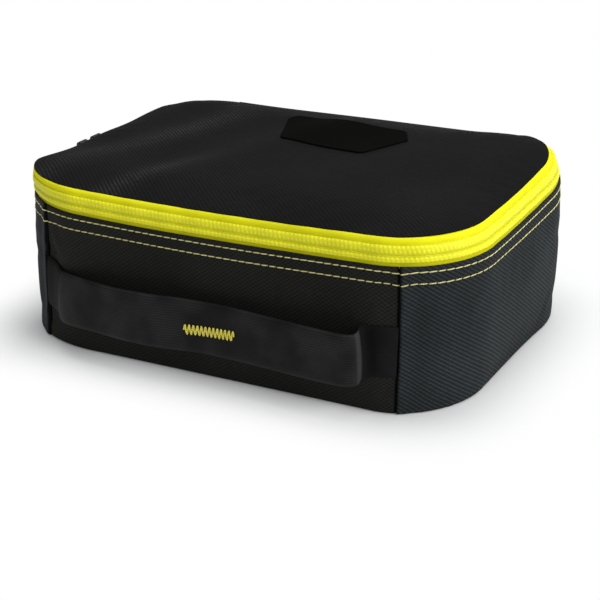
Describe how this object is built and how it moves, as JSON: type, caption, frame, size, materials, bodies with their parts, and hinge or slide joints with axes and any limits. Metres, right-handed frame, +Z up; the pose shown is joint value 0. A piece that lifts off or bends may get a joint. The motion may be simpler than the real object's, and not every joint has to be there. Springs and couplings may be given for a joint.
{
  "type": "lipo safe bag",
  "caption": "Padded box-shaped fabric bag for flat battery packs, with a zip-up lid hinged at the back and a webbing carry handle on the front.",
  "frame": {"origin": "centre of the flat underside of the bag", "axes": "+X along the long side, to the right seen from the handle; -Y the side with the carry handle; +Y the side where the lid folds; +Z up"},
  "size_m": [0.2539, 0.1816, 0.0869],
  "materials": {
    "outer_fabric": "woven",
    "foam": "matte",
    "liner_fabric": "coated woven",
    "binding_tape": "woven",
    "zip_fabric": "woven",
    "zip_coil": "satin",
    "webbing": "woven",
    "yellow_thread": "thread",
    "lid_patch": "matte",
    "slider_metal": "satin"
  },
  "bodies": {
    "bag": {"base_panel": "outer_fabric", "base_foam": "foam", "base_liner": "liner_fabric", "front_panel": "outer_fabric", "side_wrap_panel": "outer_fabric", "wall_foam": "foam", "wall_liner": "liner_fabric", "rim_binding": "binding_tape", "lower_zip_tape": "zip_fabric", "lower_zip_coil": "zip_coil", "back_rim_strip": "outer_fabric", "zip_end_cover_left": "outer_fabric", "zip_end_cover_right": "outer_fabric", "handle_tab_left": "webbing", "handle_tab_right": "webbing", "handle_loop_left": "webbing", "handle_loop_right": "webbing"},
    "lid": {"lid_panel": "outer_fabric", "lid_foam": "foam", "lid_liner": "liner_fabric", "lid_binding": "binding_tape", "upper_zip_tape": "zip_fabric", "upper_zip_coil": "zip_coil", "lid_hinge_strip": "outer_fabric", "lid_patch": "lid_patch"},
    "handle": {"handle_grip": "webbing", "handle_bartack": "yellow_thread"},
    "front_slider": {"front_slider": "slider_metal"},
    "front_pull": {"front_pull": "slider_metal"},
    "rear_slider": {"rear_slider": "slider_metal"},
    "rear_pull": {"rear_pull": "slider_metal"}
  },
  "joints": [
    {"name": "lid_hinge", "type": "hinge", "parent": "bag", "child": "lid", "pos_m": [0, 0.08103, 0.07703], "axis": [-1, 0, 0], "range_deg": [0, 180]},
    {"name": "handle_pull", "type": "slide", "parent": "bag", "child": "handle", "axis": [0, -1, 0], "range_m": [-0.006, 0.01], "stiffness_N_per_m": 60, "deforming": ["handle_loop_left", "handle_loop_right"]},
    {"name": "front_slider_slide", "type": "slide", "parent": "bag", "child": "front_slider", "axis": [0, -1, 0], "range_m": [0, 0.024]},
    {"name": "rear_slider_slide", "type": "slide", "parent": "bag", "child": "rear_slider", "axis": [0, 1, 0], "range_m": [0, 0.024]},
    {"name": "front_pull_swing", "type": "hinge", "parent": "front_slider", "child": "front_pull", "pos_m": [-0.12696, -0.0059, 0.0789], "axis": [0, 1, 0], "range_deg": [0, 150]},
    {"name": "rear_pull_swing", "type": "hinge", "parent": "rear_slider", "child": "rear_pull", "pos_m": [-0.12696, 0.0059, 0.0789], "axis": [0, 1, 0], "range_deg": [0, 150]}
  ]
}
